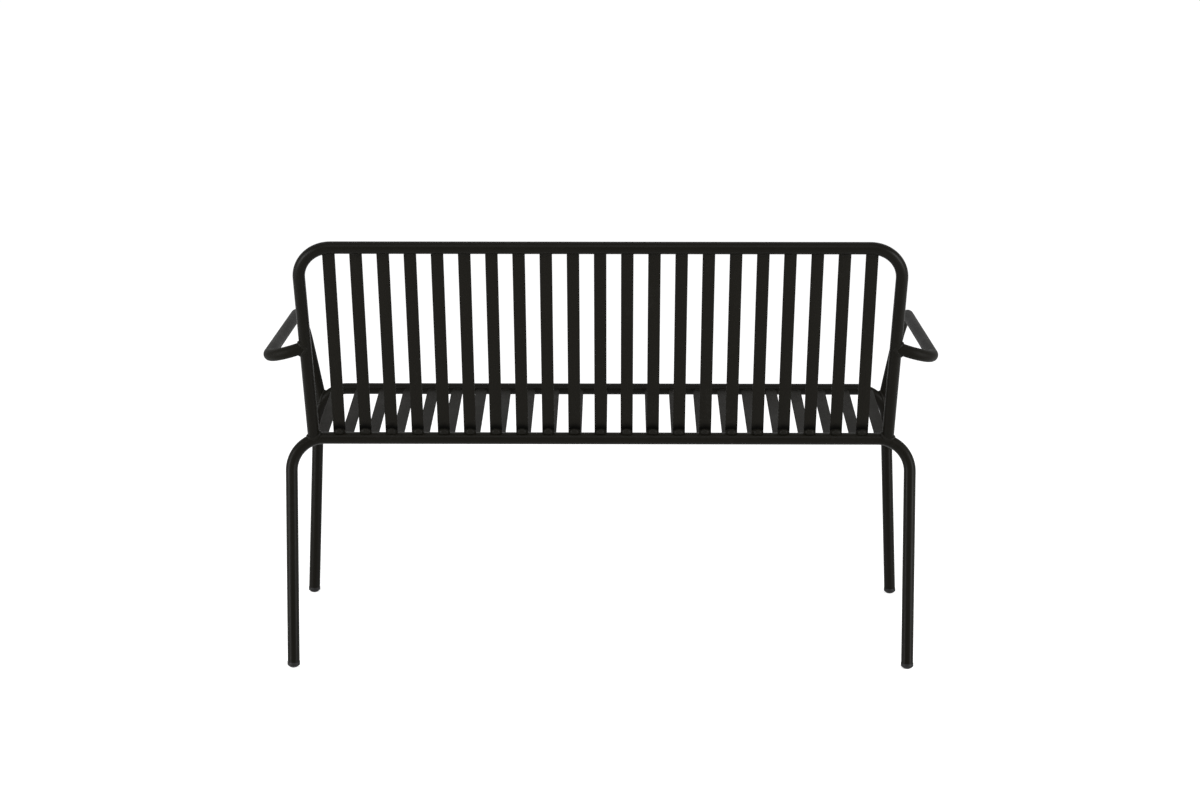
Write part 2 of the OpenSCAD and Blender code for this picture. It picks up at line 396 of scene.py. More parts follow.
def lay_bead(bm: BMesh, places: Sequence[Matrix], sides: int, closed: bool) -> None:
    """Bridges circles of radius one, each by its own placing, into a closed body.

    Args:
        bm: Mesh that takes the body.
        places: Placing of each circle.
        sides: Sides of each circle.
        closed: Whether the last circle joins the first, or both ends are capped.
    """
    loops = []
    for place in places:
        made = bmesh.ops.create_circle(bm, cap_ends=False, segments=sides, radius=1.0,
                                       matrix=place)
        edges = (edge for vert in made["verts"] for edge in vert.link_edges)
        loops.append(list(dict.fromkeys(edges)))
    following = loops[1:] + loops[:1] if closed else loops[1:]
    for here, there in zip(loops, following):
        bmesh.ops.bridge_loops(bm, edges=here + there)
    if not closed:
        for loop in (loops[0], loops[-1]):
            bmesh.ops.contextual_create(bm, geom=loop)


def nearest_on(point: Vector, way: Way) -> Vector:
    """Finds the point of a way that lies nearest.

    Args:
        point: The point to start from.
        way: Points joined by straight lines.

    Returns:
        The nearest point on those lines.
    """
    best = way[0]
    for first, second in zip(way, way[1:]):
        _, share = intersect_point_line(point, first, second)
        spot = first.lerp(second, min(1.0, max(0.0, share)))
        if (point - spot).length < (point - best).length:
            best = spot
    return best


def bend_points(way: Way, radius: float, steps: int) -> list[Vector]:
    """Middle line of a bent tube as points.

    Args:
        way: Points of the way with its corners.
        radius: Bend radius of the middle line.
        steps: Number of steps in each bend.

    Returns:
        The points, with each corner rounded.
    """
    out = [way[0]]
    for before, corner, after in zip(way, way[1:], way[2:]):
        bend = rounded(before, corner, after, radius)
        arm = bend.start - bend.centre
        out += [bend.centre + Matrix.Rotation(bend.angle * step / steps, 3, bend.axis) @ arm
                for step in range(steps + 1)]
    return out + [way[-1]]


# Finishes

Colour = tuple[float, float, float]
Sockets = bpy.types.bpy_prop_collection


class Socket(Enum):
    """Kinds of socket that a node group has."""

    VALUE = "NodeSocketFloat"
    VECTOR = "NodeSocketVector"


@dataclass
class Wiring:
    """Places nodes in a material's tree or a node group and joins them in one call each."""

    tree: NodeTree

    def link(self, value: NodeSocket, to: NodeSocket) -> None:
        """Joins an output to an input."""
        self.tree.links.new(value, to)

    def node(self, kind: str, settings: dict[str, object] | None = None,
             **links: object) -> bpy.types.Node:
        """Adds a node, sets it and joins its inputs.

        Args:
            kind: Blender's name of the node type.
            settings: Attributes of the node.
            **links: Inputs by index, as i0, or by name with underscores for spaces.
                A socket is linked, anything else becomes the input's value.

        Returns:
            The new node.
        """
        made = self.tree.nodes.new(kind)
        for key, value in (settings or {}).items():
            setattr(made, key, value)
        for key, value in links.items():
            index = int(key[1:]) if key[0] == "i" and key[1:].isdigit() else key.replace("_", " ")
            if isinstance(value, NodeSocket):
                self.link(value, made.inputs[index])
            else:
                made.inputs[index].default_value = value
        return made

    def calc(self, operation: str, a: object, b: object = 0.0, c: object = 0.0) -> NodeSocket:
        """Result of a Math node on up to three values or sockets."""
        return self.node("ShaderNodeMath", {"operation": operation}, i0=a, i1=b, i2=c).outputs[0]

    def band(self, value: NodeSocket, low: float, high: float, to_low: float = 0.0,
             to_high: float = 1.0) -> NodeSocket:
        """Value mapped smoothly from the span of low and high to that of to_low and to_high."""
        return self.node("ShaderNodeMapRange", {"interpolation_type": "SMOOTHSTEP"}, Value=value,
                         From_Min=low, From_Max=high, To_Min=to_low, To_Max=to_high).outputs[0]

    def noise(self, point: NodeSocket, scale: object, detail: float,
              roughness: float) -> NodeSocket:
        """Noise at a point, with its scale, its finer octaves and their strength."""
        return self.node("ShaderNodeTexNoise", Vector=point, Scale=scale, Detail=detail,
                         Roughness=roughness).outputs[0]

    def blend(self, share: NodeSocket, start: Colour | NodeSocket, end: Colour) -> NodeSocket:
        """Colour that goes from the start, which may be a socket, to the end with the share."""
        first = start if isinstance(start, NodeSocket) else (*start, 1.0)
        return self.node("ShaderNodeMix", {"data_type": "RGBA"}, i0=share, i6=first,
                         i7=(*end, 1.0)).outputs[2]


def node_group(name: str, inputs: dict[str, tuple[Socket, object]],
               outputs: dict[str, Socket]) -> tuple[Wiring, Sockets, Sockets]:
    """Makes an empty shader node group with named sockets.

    Args:
        name: Name of the group.
        inputs: Kind and default of each input by name.
        outputs: Kind of each output by name.

    Returns:
        The group's wiring, what it is given, and what it has to give.
    """
    tree = bpy.data.node_groups.new(name, "ShaderNodeTree")
    for label, (kind, default) in inputs.items():
        made = tree.interface.new_socket(name=label, in_out="INPUT", socket_type=kind.value)
        if default is not None:
            made.default_value = default
    for label, kind in outputs.items():
        tree.interface.new_socket(name=label, in_out="OUTPUT", socket_type=kind.value)
    given, wanted = tree.nodes.new("NodeGroupInput"), tree.nodes.new("NodeGroupOutput")
    return Wiring(tree), given.outputs, wanted.inputs


@dataclass
class SharedEffects:
    """Node groups that more than one finish uses."""

    sparkle_span: tuple[float, float] = (0.58, 0.74)
    cloud_span: tuple[float, float] = (0.5, 0.72)
    rub_span: tuple[float, float] = (0.38, 0.7)
    rub_fineness: float = 14.0
    dust_scale: float = 420.0
    dust_span: tuple[float, float] = (0.42, 0.68)
    level_span: tuple[float, float] = (0.55, 1.0)
    texture: NodeTree = field(init=False)
    handling: NodeTree = field(init=False)
    dust: NodeTree = field(init=False)

    def __post_init__(self) -> None:
        """Builds each group once."""
        self.texture = self.coat_texture()
        self.handling = self.rubbed_patches()
        self.dust = self.settled_dust()

    def coat_texture(self) -> NodeTree:
        """Builds the fine sandy grain of a textured powder coat over a slow orange peel, and the
        grain's peaks where glints are painted.

        Returns:
            The node group.
        """
        w, given, out = node_group(
            "coat_texture", {"Point": (Socket.VECTOR, None), "Grain": (Socket.VALUE, 1500.0),
                             "Peel": (Socket.VALUE, 260.0), "Peel Depth": (Socket.VALUE, 0.35)},
            {"Height": Socket.VALUE, "Sparkle": Socket.VALUE})
        grain = w.noise(given["Point"], given["Grain"], detail=2.0, roughness=0.6)
        peel = w.noise(given["Point"], given["Peel"], detail=1.0, roughness=0.4)
        w.link(w.calc("ADD", grain, w.calc("MULTIPLY", peel, given["Peel Depth"])), out["Height"])
        # Sparkle marks the grain's peaks, where glints are painted into the colour.
        w.link(w.band(grain, *self.sparkle_span), out["Sparkle"])
        return w.tree

    def rubbed_patches(self) -> NodeTree:
        """Builds faint cloudy patches where hands and cloth have rubbed the coat.

        Returns:
            The node group.
        """
        w, given, out = node_group(
            "handling", {"Point": (Socket.VECTOR, None), "Size": (Socket.VALUE, 9.0)},
            {"Mask": Socket.VALUE, "Cloud": Socket.VALUE})
        cloud = w.noise(given["Point"], given["Size"], detail=5.0, roughness=0.62)
        finer = w.calc("MULTIPLY", given["Size"], self.rub_fineness)
        fine = w.noise(given["Point"], finer, detail=3.0, roughness=0.7)
        mask = w.calc("MULTIPLY", w.band(cloud, *self.cloud_span), w.band(fine, *self.rub_span))
        w.link(mask, out["Mask"])
        w.link(cloud, out["Cloud"])
        return w.tree

    def settled_dust(self) -> NodeTree:
        """Builds thin dust on what faces up, broken by a fine noise.

        Returns:
            The node group.
        """
        w, given, out = node_group(
            "settled_dust", {"Point": (Socket.VECTOR, None), "Facing": (Socket.VECTOR, None),
                             "Amount": (Socket.VALUE, 0.3)}, {"Mask": Socket.VALUE})
        up = w.node("ShaderNodeSeparateXYZ", Vector=given["Facing"]).outputs["Z"]
        speck = w.noise(given["Point"], self.dust_scale, detail=3.0, roughness=0.65)
        mask = w.calc("MULTIPLY", w.band(up, *self.level_span), w.band(speck, *self.dust_span))
        w.link(w.calc("MULTIPLY", mask, given["Amount"]), out["Mask"])
        return w.tree


@dataclass(frozen=True)
class ToeShade:
    """Painted dark shade in the crease over each bead of a row of slats, which fades up the slat.
    """

    along: Vector
    level: float
    pitch: float
    half: float
    fall: float
    edge: float = 2.0 * MM
    height: float = 22.0 * MM
    depth: float = 0.9
    # Colour, roughness and metallic share of the painted shade: the metallic share darkens it
    # further.
    colour: Colour = (0.0004, 0.0004, 0.0003)
    roughness: float = 0.4
    shade_metallic: float = 0.52

    def mask(self, w: Wiring, point: NodeSocket) -> NodeSocket:
        """Measures how deep in the painted shade a point lies.

        Args:
            w: Wiring of the material that shows the shade.
            point: Object coordinates.

        Returns:
            The mask's socket.
        """
        height = w.node("ShaderNodeVectorMath", {"operation": "DOT_PRODUCT"}, i0=point,
                        i1=self.along).outputs["Value"]
        x = w.node("ShaderNodeSeparateXYZ", Vector=point).outputs["X"]
        share = w.calc("DIVIDE", w.calc("WRAP", x, self.pitch / 2.0, -self.pitch / 2.0), self.half)
        crown = w.calc("MULTIPLY_ADD", w.calc("MULTIPLY", share, share), -self.fall, self.level)
        rise = w.calc("SUBTRACT", height, crown)
        above = w.band(rise, self.edge / 2.0, self.height, 1.0, 0.0)
        below = w.band(rise, -self.edge, -self.edge / 3.0, 0.0, self.depth)
        return w.calc("MULTIPLY", w.calc("MULTIPLY", above, above), below)


class Paint:
    """Material under construction, with its wiring, shader and coordinates."""

    def __init__(self, name: str, colour: Colour, specular: float) -> None:
        """Starts the material.

        Args:
            name: Its name.
            colour: Colour that stands for it in a plain view.
            specular: Level of its reflections.
        """
        self.mat = bpy.data.materials.new(name)
        self.mat.use_nodes = True
        self.mat.diffuse_color = (*colour, 1.0)
        self.wiring = Wiring(self.mat.node_tree)
        self.shader = self.mat.node_tree.nodes["Principled BSDF"]
        self.shader.inputs["Specular IOR Level"].default_value = specular
        self.point = self.wiring.node("ShaderNodeTexCoord").outputs["Object"]

    def effect(self, group: NodeTree, **inputs: object) -> Sockets:
        """Outputs of a shared effect, placed at the material's coordinates."""
        return self.wiring.node("ShaderNodeGroup", {"node_tree": group}, Point=self.point,
                                **inputs).outputs

    def feed(self, **sockets: NodeSocket) -> None:
        """Joins sockets to the shader's inputs, named with underscores for spaces."""
        for label, value in sockets.items():
            self.wiring.link(value, self.shader.inputs[label.replace("_", " ")])

    def bump(self, height: NodeSocket, strength: float, distance: float) -> None:
        """Raises a grain from its height, by a strength and a depth in metres."""
        self.feed(Normal=self.wiring.node("ShaderNodeBump", Strength=strength, Distance=distance,
                                          Height=height).outputs["Normal"])


@dataclass(frozen=True)
class PowderCoat:
    """Matt black powder coat with a fine sandy grain."""

    name: str
    colour: Colour
    rubbed: Colour
    roughness: float = 0.58
    specular: float = 0.066
    grain: float = 1500.0
    grain_depth: float = 0.06 * MM
    grain_strength: float = 0.55
    # Painted glints on the grain's peaks: their share, and how much lighter than the rubbed coat.
    sparkle: float = 0.35
    sparkle_lift: float = 1.7
    cloud_span: tuple[float, float] = (0.3, 0.7)
    cloud_roughness: float = 0.05
    rub_polish: float = 0.06
    dust: float = 0.06
    dust_colour: Colour = (0.16, 0.15, 0.135)
    dust_roughness: float = 0.35
    # Painted shade in the crease over the beads, where the coat has one.
    toe: ToeShade | None = None

    def material(self, shared: SharedEffects) -> Material:
        """Builds the coat's material.

        Args:
            shared: Node groups for grain, handling and dust.

        Returns:
            The material.
        """
        paint = Paint(self.name, self.colour, self.specular)
        w = paint.wiring
        texture = paint.effect(shared.texture, Grain=self.grain)
        handling = paint.effect(shared.handling)
        dust = paint.effect(shared.dust, Amount=self.dust,
                            Facing=w.node("ShaderNodeNewGeometry").outputs["Normal"])
        colour = w.blend(handling["Mask"], self.colour, self.rubbed)
        # Painted glints: the grain's peaks are blended toward a colour lighter than the rubbed
        # coat.
        painted_glint = tuple(part * self.sparkle_lift for part in self.rubbed)
        colour = w.blend(w.calc("MULTIPLY", texture["Sparkle"], self.sparkle), colour, painted_glint)
        colour = w.blend(dust["Mask"], colour, self.dust_colour)
        rough = w.calc("ADD", self.roughness, w.band(
            handling["Cloud"], *self.cloud_span, -self.cloud_roughness, self.cloud_roughness))
        # Painted shade in the crease over the beads: darker colour, more roughness and some
        # metallic.
        if self.toe:
            shade = self.toe.mask(w, paint.point)
            colour = w.blend(shade, colour, self.toe.colour)
            rough = w.calc("MULTIPLY_ADD", shade, self.toe.roughness, rough)
            paint.feed(Metallic=w.calc("MULTIPLY", shade, self.toe.shade_metallic))
        rough = w.calc("MULTIPLY_ADD", dust["Mask"], self.dust_roughness, rough)
        rough = w.calc("MULTIPLY_ADD", handling["Mask"], -self.rub_polish, rough)
        paint.feed(Base_Color=colour, Roughness=rough)
        paint.bump(texture["Height"], self.grain_strength, self.grain_depth)
        return paint.mat


@dataclass(frozen=True)
class MouldedPlastic:
    """Matt black moulded plastic of the glides, scuffed at the ground."""

    name: str = "glide_plastic"
    colour: Colour = (0.0075, 0.0073, 0.0072)
    scuffed: Colour = (0.022, 0.0205, 0.019)
    roughness: tuple[float, float] = (0.5, 0.72)
    specular: float = 0.14
    grain: float = 900.0
    grain_depth: float = 0.05 * MM
    grain_strength: float = 0.4
    patch_scale: float = 60.0
    patch_span: tuple[float, float] = (0.4, 0.65)
    scuff_height: float = 4.0 * MM

    def material(self, shared: SharedEffects) -> Material:
        """Builds the plastic's material.

        Args:
            shared: Node groups for grain and handling.

        Returns:
            The material.
        """
        paint = Paint(self.name, self.colour, self.specular)
        w = paint.wiring
        texture = paint.effect(shared.texture, Grain=self.grain)
        handling = paint.effect(shared.handling, Size=self.patch_scale)
        height = w.node("ShaderNodeSeparateXYZ", Vector=paint.point).outputs["Z"]
        low = w.band(height, 0.0, self.scuff_height, 1.0, 0.0)
        worn = w.calc("MULTIPLY", low, w.band(handling["Cloud"], *self.patch_span))
        paint.feed(Base_Color=w.blend(worn, self.colour, self.scuffed),
                   Roughness=w.band(worn, 0.0, 1.0, *self.roughness))
        paint.bump(texture["Height"], self.grain_strength, self.grain_depth)
        return paint.mat


class Finishes:
    """Every finish of the sofa, built once."""

    def __init__(self, back_toe: ToeShade) -> None:
        """Builds the materials.

        Args:
            back_toe: Painted shade at the feet of the back slats.
        """
        shared = SharedEffects()
        bent = PowderCoat("tube_coat", (0.003, 0.0026, 0.0015), (0.0052, 0.0047, 0.0035),
                          roughness=0.38, specular=0.062)
        flat = PowderCoat("slat_coat", (0.0038, 0.0033, 0.0021), (0.0064, 0.0059, 0.0046))
        laid = PowderCoat("weld_coat", (0.0042, 0.0038, 0.0026), (0.0075, 0.007, 0.0058),
                          roughness=0.45, grain=1100.0)
        self.tube = bent.material(shared)
        self.arm = replace(bent, name="arm_coat", roughness=0.55, specular=0.055).material(shared)
        self.slat = flat.material(shared)
        self.back_slat = replace(flat, name="back_slat_coat", toe=back_toe).material(shared)
        self.weld = laid.material(shared)
        self.glide = MouldedPlastic().material(shared)


def finish_piece(obj: Object, material: Material, node: str) -> None:
    """Dresses a piece and puts it in its CAD node's place.

    Args:
        obj: The piece.
        material: Its finish.
        node: CAD node that it stands for.
    """
    obj.data.materials.append(material)
    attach(obj, "root")
    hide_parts(node)
    LOG.info("%s: %d faces for %s", obj.name, len(obj.data.polygons), node)


# Sub-assemblies

@dataclass
class TubeFrames:
    """Leg frames, back frame and armrests of bent tube."""

    plan: SofaPlan
    stock: TubeStock
    glide_h: float = 12.0 * MM
    foot_zone: float = 24.0 * MM

    def lifted(self, way: Way) -> list[Vector]:
        """Way of a leg frame, ended on its glides.

        Args:
            way: Way down to the ground.

        Returns:
            The same way with its feet raised to the glides' tops.
        """
        out = list(way)
        for end, knee in ((0, 1), (-1, -2)):
            run = way[knee] - way[end]
            out[end] = way[end] + run * (self.glide_h / run.z)
        return out

    def build(self, finishes: Finishes) -> None:
        """Makes and dresses every tube.

        Args:
            finishes: Finishes of the sofa.
        """
        for name, way in (("rear_leg_frame", self.plan.rear_way()),
                          ("front_leg_frame", self.plan.front_way())):
            legs = bent_tube(name + "_tube", self.lifted(way), self.plan.bend, self.stock)
            self.level_feet(legs, way)
            finish_piece(legs, finishes.tube, name)
        back = bent_tube("back_frame_tube", self.plan.back_way(), self.plan.bend, self.stock)
        finish_piece(back, finishes.tube, "back_frame")
        for side in Side:
            name = side.word + "_armrest"
            arm = bent_tube(name + "_tube", self.plan.arm_way(side), self.plan.arm_bend,
                            self.stock)
            finish_piece(arm, finishes.arm, name)

    def level_feet(self, obj: Object, way: Way) -> None:
        """Slides a leg frame's end rings along the legs till they lie level on the glides.

        Args:
            obj: The leg frame.
            way: Its way down to the ground.
        """
        for end, knee in ((0, 1), (-1, -2)):
            run = way[knee] - way[end]
            for vert in obj.data.vertices:
                if vert.co.z < self.foot_zone and vert.co.x * way[end].x > 0.0:
                    vert.co += run * ((self.glide_h - vert.co.z) / run.z)


@dataclass
class SlatSet:
    """Flat slats of the seat and the back."""

    plan: SofaPlan
    stock: BarStock

    def row(self, half: int, points: Sequence[tuple[float, float]]) -> list[list[Vector]]:
        """Middle lines of a row of slats from -X, by the y and z of each line's points."""
        return [[self.plan.at(step * self.plan.pitch, y, z) for y, z in points]
                for step in range(-half, half + 1)]

    def seat_ways(self) -> list[list[Vector]]:
        """Middle lines of the seat slats, from the rear rail over the dip to the front rail."""
        plan = self.plan
        return self.row(plan.seat_half, [
            (0.0, plan.rear_rail_h), (-plan.dish_ahead, plan.rear_rail_h - plan.dish_drop),
            (-plan.seat_depth, plan.rear_rail_h + plan.front_rise)])

    def back_ways(self) -> list[list[Vector]]:
        """Middle lines of the back slats, from the rear rail to the top rail."""
        plan = self.plan
        return self.row(plan.back_half, [
            (0.0, plan.rear_rail_h), (plan.back_lean, plan.rear_rail_h + plan.back_h)])

    def build(self, finishes: Finishes) -> None:
        """Makes and dresses every slat.

        Args:
            finishes: Finishes of the sofa.
        """
        for row, ways, finish in (("seat", self.seat_ways(), finishes.slat),
                                  ("back", self.back_ways(), finishes.back_slat)):
            for number, way in enumerate(ways, start=1):
                bar = flat_bar(f"{row}_bar_{number:02d}", way, self.plan.dish_bend, self.stock)
                finish_piece(bar, finish, f"{row}_slat_{number:02d}")


@dataclass(frozen=True)
class SlatBead:
    """Sizes of the short bead across a slat's end, in metres, with its reach from the rail."""

    length: float
    half_height: float
    swell: float
    reach: float
    droop: float


@dataclass(frozen=True)
class HandWander:
    """How far a hand-laid bead strays from its drawn sizes and place."""

    length: tuple[float, float] = (0.93, 1.05)
    height: tuple[float, float] = (0.9, 1.08)
    swell: tuple[float, float] = (0.92, 1.08)
    climb: float = 0.5 * MM
    drift: float = 0.8 * MM
    tilt: float = 0.05
    station: float = 0.03
    rope: float = 0.04


@dataclass
class WeldBeads:
    """Hand-laid beads where slats and tubes meet, thick with coat."""

    plan: SofaPlan
    tube: TubeStock
    bar: BarStock
    slats: SlatSet
    foot: SlatBead = SlatBead(18.5 * MM, 6.6 * MM, 5.2 * MM, 17.0 * MM, 2.2 * MM)
    top: SlatBead = SlatBead(18.0 * MM, 3.4 * MM, 2.6 * MM, 12.2 * MM, 0.8 * MM)
    seat: SlatBead = SlatBead(18.5 * MM, 2.9 * MM, 1.9 * MM, 12.6 * MM, 0.5 * MM)
    toe_gap: float = 1.2 * MM
    wander: HandWander = HandWander()
    stations: tuple[float, ...] = (-1.0, -0.9, -0.66, -0.33, 0.0, 0.33, 0.66, 0.9, 1.0)
    end_size: float = 0.3
    blunt: float = 4.0
    fullness: float = 0.4
    ripple: float = 0.05
    ripple_turn: float = 2.0
    sides: int = 12
    rope: float = 3.4 * MM
    rope_sides: int = 14
    rope_lift: float = 0.22
    flush_crown: float = 0.34
    ring_points: int = 60
    search_reach: float = 48.0 * MM
    halvings: int = 24
    smooth_angle: float = 180.0
    chance: random.Random = field(default_factory=lambda: random.Random(11))

    def sway(self, most: float) -> float:
        """Draws a stray between minus and plus the most."""
        return self.chance.uniform(-most, most)

    def foot_toe(self) -> ToeShade:
        """Measures the painted shade in the crease over the beads at the back slats' feet.

        Returns:
            The shade.
        """
        rail, top = self.slats.back_ways()[self.plan.back_half]
        along = (top - rail).normalized()
        level = rail.dot(along) + self.foot.reach + self.foot.half_height + self.toe_gap
        return ToeShade(along, level, self.plan.pitch, self.foot.length / 2.0, self.foot.droop)

    def lump(self, bm: BMesh, rail: Vector, along: Vector, out: Vector, bead: SlatBead) -> None:
        """Lays a short bead across a slat's end.

        Args:
            bm: Mesh that takes the bead.
            rail: Point on the rail's axis at the slat's middle.
            along: Direction from there along the slat.
            out: Normal of the slat's face.
            bead: Its sizes.
        """
        half = bead.length / 2.0 * self.chance.uniform(*self.wander.length)
        tall = bead.half_height * self.chance.uniform(*self.wander.height)
        thick = bead.swell * self.chance.uniform(*self.wander.swell)
        middle = rail + along * (bead.reach + self.sway(self.wander.climb))
        middle += out * self.bar.thickness / 2.0 + ACROSS * self.sway(self.wander.drift)
        tilt = self.sway(self.wander.tilt)
        places = []
        for number, u in enumerate(self.stations):
            size = max(self.end_size, (1.0 - abs(u) ** self.blunt) ** self.fullness)
            wave = self.ripple * (0.5 if number % 2 else -0.5)
            size *= 1.0 + wave + self.sway(self.wander.station)
            origin = middle + ACROSS * u * half + along * (u * half * tilt - u * u * bead.droop)
            turn = Matrix((along * tall * size, out * thick * size, ACROSS)).transposed()
            places.append(Matrix.Translation(origin) @ turn.to_4x4())
        lay_bead(bm, places, self.sides, False)

    def slat_ends(self, name: str, ways: Sequence[Way], end: int, bead: SlatBead) -> Object:
        """Lays beads on both faces of every slat of a row at one rail.

        Args:
            name: Name of the piece.
            ways: Middle line of each slat.
            end: 0 for the slats' first ends, -1 for their last.
            bead: Sizes of each bead.

        Returns:
            The new object.
        """
        bm = bmesh.new()
        for way in ways:
            rail, inner = (way[0], way[1]) if end == 0 else (way[-1], way[-2])
            along = (inner - rail).normalized()
            face = ACROSS.cross(along)
            for out in (face, -face):
                self.lump(bm, rail, along, out, bead)
        return closed_object(name, bm, self.smooth_angle)

    def meeting(self, line: Vector, along: Vector, carrier: Way) -> Vector:
        """Finds where a line on a tube's skin leaves the carrier's skin.

        Args:
            line: Start of the line, inside the carrier.
            along: Direction of the line.
            carrier: Points on the carrier's axis.

        Returns:
            The point.
        """
        low, high = 0.0, self.search_reach
        for _ in range(self.halvings):
            middle = (low + high) / 2.0
            point = line + along * middle
            if (point - nearest_on(point, carrier)).length < self.tube.radius:
                low = middle
            else:
                high = middle
        return line + along * high

    def seam(self, start: Vector, along: Vector, carrier: Way) -> list[Matrix]:
        """Places a bead round a tube where it meets another.

        Args:
            start: Point on the tube's axis, inside the carrier.
            along: Direction of the tube away from the carrier.
            carrier: Points on the carrier's axis.

        Returns:
            The placings of the bead's circles, once round.
        """
        along = along.normalized()
        side = along.orthogonal().normalized()
        other = along.cross(side)
        spots: list[Vector] = []
        outward: list[Vector] = []
        corners: list[float] = []
        for number in range(self.ring_points):
            angle = 2.0 * math.pi * number / self.ring_points
            radial = side * math.cos(angle) + other * math.sin(angle)
            point = self.meeting(start + radial * self.tube.radius, along, carrier)
            away = (point - nearest_on(point, carrier)).normalized()
            spots.append(point)
            outward.append((radial + away).normalized())
            corners.append(1.0 - max(0.0, radial.dot(away)))
        places = []
        for number, (point, out, corner) in enumerate(zip(spots, outward, corners)):
            tangent = (spots[(number + 1) % len(spots)] - spots[number - 1]).normalized()
            wave = self.ripple * math.sin(number * self.ripple_turn)
            size = self.rope * (1.0 + wave + self.sway(self.wander.rope))
            crown = size * (self.flush_crown + (1.0 - self.flush_crown) * corner)
            turn = facing(point + out * self.rope * self.rope_lift * corner, tangent, out)
            places.append(turn @ Matrix.Diagonal((crown, size, 1.0, 1.0)))
        return places

    def round_tubes(self, name: str, joints: Sequence[tuple[Vector, Vector, Way]]) -> Object:
        """Lays a bead round each tube of a pair.

        Args:
            name: Name of the piece.
            joints: Start, direction and carrier's axis of each joint.

        Returns:
            The new object.
        """
        bm = bmesh.new()
        for start, along, carrier in joints:
            lay_bead(bm, self.seam(start, along, carrier), self.rope_sides, True)
        return closed_object(name, bm, self.smooth_angle)

    def build(self, finishes: Finishes) -> None:
        """Makes and dresses every bead.

        Args:
            finishes: Finishes of the sofa.
        """
        seat, back = self.slats.seat_ways(), self.slats.back_ways()
        for name, ways, end, bead in (("seat_front", seat, -1, self.seat),
                                      ("seat_rear", seat, 0, self.seat),
                                      ("back_foot", back, 0, self.foot),
                                      ("back_top", back, -1, self.top)):
            beads = self.slat_ends(name + "_beads", ways, end, bead)
            finish_piece(beads, finishes.weld, name + "_welds")
        rear, front = (bend_points(way, self.plan.bend, self.tube.bend_steps)
                       for way in (self.plan.rear_way(), self.plan.front_way()))
        _, _, corner, foot = self.plan.back_way()
        uprights, arm_tops, arm_feet = [], [], []
        for side in Side:
            upright = [side.place(foot), side.place(corner)]
            uprights.append((upright[0], upright[1] - upright[0], rear))
            arm = self.plan.arm_way(side)
            arm_tops.append((arm[0], arm[1] - arm[0], upright))
            arm_feet.append((arm[3], arm[2] - arm[3], front))
        for name, joints in (("upright_foot", uprights), ("arm_top", arm_tops),
                             ("arm_foot", arm_feet)):
            beads = self.round_tubes(name + "_beads", joints)
            finish_piece(beads, finishes.weld, name + "_welds")


@dataclass
class Glides:
    """Plastic glide under each leg: a domed foot, a collar and a stem."""

    plan: SofaPlan
    tube: TubeStock
    height: float = 12.0 * MM
    dome: float = 5.5 * MM
    flat: float = 4.0 * MM
    lip: float = 0.6 * MM
    stem: float = 22.0 * MM
    stem_radius: float = 10.35 * MM
    ease: float = 0.5 * MM
    ease_shares: tuple[float, float] = (0.3, 0.35)
    dome_rings: int = 7
    sides: int = 40
    smooth_angle: float = 38.0

    def collar(self) -> list[tuple[float, float]]:
        """Measures the collar and the stem.

        Returns:
            Height and radius of each of their circles, from the dome up.
        """
        wide = self.tube.radius + self.lip
        less, more = (self.ease * share for share in self.ease_shares)
        return [(self.dome, wide - self.ease), (self.dome + more, wide - less),
                (self.dome + self.ease, wide), (self.height - self.ease, wide),
                (self.height - less, wide - more), (self.height, wide - self.ease),
                (self.height, self.stem_radius), (self.height + self.stem, self.stem_radius)]

    def rings(self, foot: Vector, knee: Vector) -> list[Matrix]:
        """Placings of the level circles that bound the glide, from the ground up.

        Args:
            foot: Where the leg's axis meets the ground.
            knee: Point up the leg's axis.

        Returns:
            The placings of circles of radius one.
        """
        run = (knee - foot) / (knee - foot).z
        turn = Matrix.Rotation(math.atan2(run.y, run.x), 4, "Z")
        centre = foot + run * self.dome
        ball_h = (self.tube.radius ** 2 - self.flat ** 2 + self.dome ** 2) / (2.0 * self.dome)
        ball_r = math.hypot(self.flat, ball_h)
        out = []
        for number in range(self.dome_rings + 1):
            z = self.dome * number / self.dome_rings
            radius = math.sqrt(ball_r ** 2 - (ball_h - z) ** 2)
            place = Matrix.Translation((centre.x, centre.y, z))
            out.append(place @ Matrix.Diagonal((radius, radius, 1.0, 1.0)))
        for z, radius in self.collar():
            place = Matrix.Translation(foot + run * z) @ turn
            out.append(place @ Matrix.Diagonal((radius * run.length, radius, 1.0, 1.0)))
        return out

    def build(self, finishes: Finishes) -> None:
        """Makes and dresses the four glides.

        Args:
            finishes: Finishes of the sofa.
        """
        for end, way in (("rear", self.plan.rear_way()), ("front", self.plan.front_way())):
            for side in Side:
                _, _, knee, foot = map(side.place, way)
                bm = bmesh.new()
                lay_bead(bm, self.rings(foot, knee), self.sides, False)
                glide = closed_object(f"{end}_{side.word}_foot", bm, self.smooth_angle)
                finish_piece(glide, finishes.glide, f"{end}_{side.word}_glide")


# Stage

@dataclass(frozen=True)
class SoftBox:
    """Rectangular lamp, in metres and watts."""

    name: str
    place: tuple[float, float, float]
    size: tuple[float, float]
    power: float

    def hang(self, aim: Vector) -> None:
        """Hangs the lamp.

        Args:
            aim: What it points at.
        """
        data = bpy.data.lights.new(self.name, "AREA")
        data.shape = "RECTANGLE"
        data.size, data.size_y = self.size
        data.energy = self.power
        lamp = placed(self.name, data)
        lamp.location = self.place
        lamp.rotation_euler = (aim - lamp.location).to_track_quat("-Z", "Y").to_euler()


